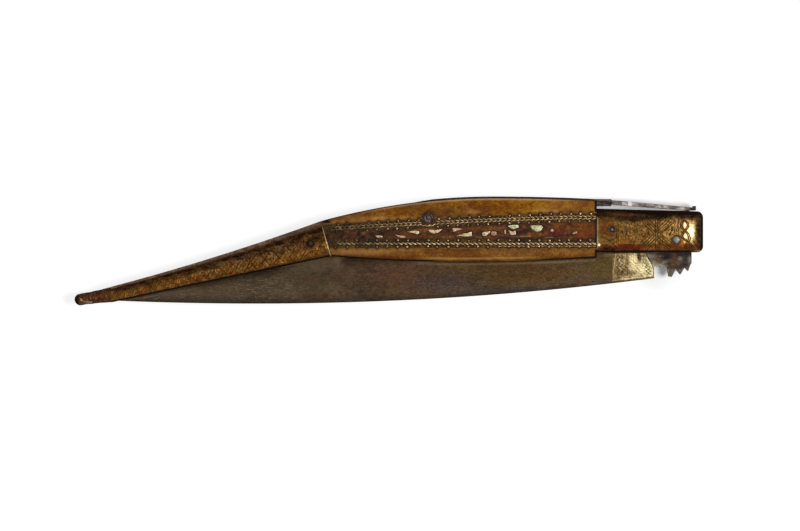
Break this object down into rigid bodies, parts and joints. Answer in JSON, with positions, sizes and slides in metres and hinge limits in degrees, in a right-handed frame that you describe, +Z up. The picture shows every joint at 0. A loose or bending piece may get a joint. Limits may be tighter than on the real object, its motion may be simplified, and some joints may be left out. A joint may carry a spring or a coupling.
{
  "type": "folding knife",
  "caption": "Large closed clasp knife with a horn handle, engraved brass bolsters and tail, external back spring and a ratchet-toothed blade tang.",
  "frame": {"origin": "middle of the closed knife's outline, on the plane that its back horn scale rests on", "axes": "+X along the knife towards the pivot end, +Y towards the back spring, +Z up through the thickness, from the back scale to the front scale"},
  "size_m": [0.24, 0.0416, 0.015],
  "materials": {
    "iron": "dark, rust-browned iron plate",
    "aged_brass": "darkened brass, filed",
    "tip_brass": "dark worn brass with a reddish rubbed side",
    "amber_horn": "polished amber horn, dark streaks",
    "bolster_brass": "engraved, stippled and rubbed brass",
    "dark_horn": "rough dark horn",
    "tail_brass": "engraved brass sheet under brown patina",
    "inlay_bed": "dark green-black patina",
    "stained_horn": "red-brown stained horn, polished",
    "mother_of_pearl": "iridescent mother-of-pearl",
    "inlay_brass": "worn brass pins and wire",
    "rivet_steel": "rubbed steel",
    "dark_steel": "dark browned steel",
    "blade_steel": "old steel under even brown patina, fine long scratches",
    "overlay_brass": "pale engraved brass",
    "spring_steel": "dark spring steel with rubbed edges"
  },
  "bodies": {
    "handle": {"liner_front": "iron", "liner_back": "iron", "tail_spacer": "aged_brass", "tail_tip": "tip_brass", "horn_scale_front": "amber_horn", "horn_scale_back": "amber_horn", "bolster_front": "bolster_brass", "bolster_back": "bolster_brass", "tail_core_front": "dark_horn", "tail_core_back": "dark_horn", "tail_sheet_front": "tail_brass", "tail_sheet_back": "tail_brass", "upper_bed_front": "inlay_bed", "upper_bed_back": "inlay_bed", "lower_bed_front": "inlay_bed", "lower_bed_back": "inlay_bed", "centre_strip_front": "stained_horn", "centre_strip_back": "stained_horn", "pearl_chips_front": "mother_of_pearl", "pearl_chips_back": "mother_of_pearl", "band_studs_front": "inlay_brass", "band_studs_back": "inlay_brass", "twisted_wires_front": "inlay_brass", "twisted_wires_back": "inlay_brass", "pivot_pin": "rivet_steel", "bolster_rivet": "rivet_steel", "spring_rivet": "dark_steel", "tail_pin": "dark_steel", "bolster_washer_front": "aged_brass", "bolster_washer_back": "aged_brass", "spring_washer_front": "dark_steel", "spring_washer_back": "dark_steel"},
    "folding_blade": {"blade": "blade_steel", "ricasso_overlay_front": "overlay_brass", "ricasso_overlay_back": "overlay_brass"},
    "leaf_spring": {"back_spring": "spring_steel"}
  },
  "joints": [
    {"name": "blade_pivot", "type": "hinge", "parent": "handle", "child": "folding_blade", "pos_m": [0.10965, 0.00428, 0.0075], "axis": [0, 0, 1], "range_deg": [0, 180]},
    {"name": "spring_lift", "type": "hinge", "parent": "handle", "child": "leaf_spring", "pos_m": [0.01525, 0.01273, 0.0075], "axis": [0, 0, 1], "range_deg": [0, 2.5], "stiffness_Nm_per_rad": 30, "deforming": ["back_spring"]}
  ]
}
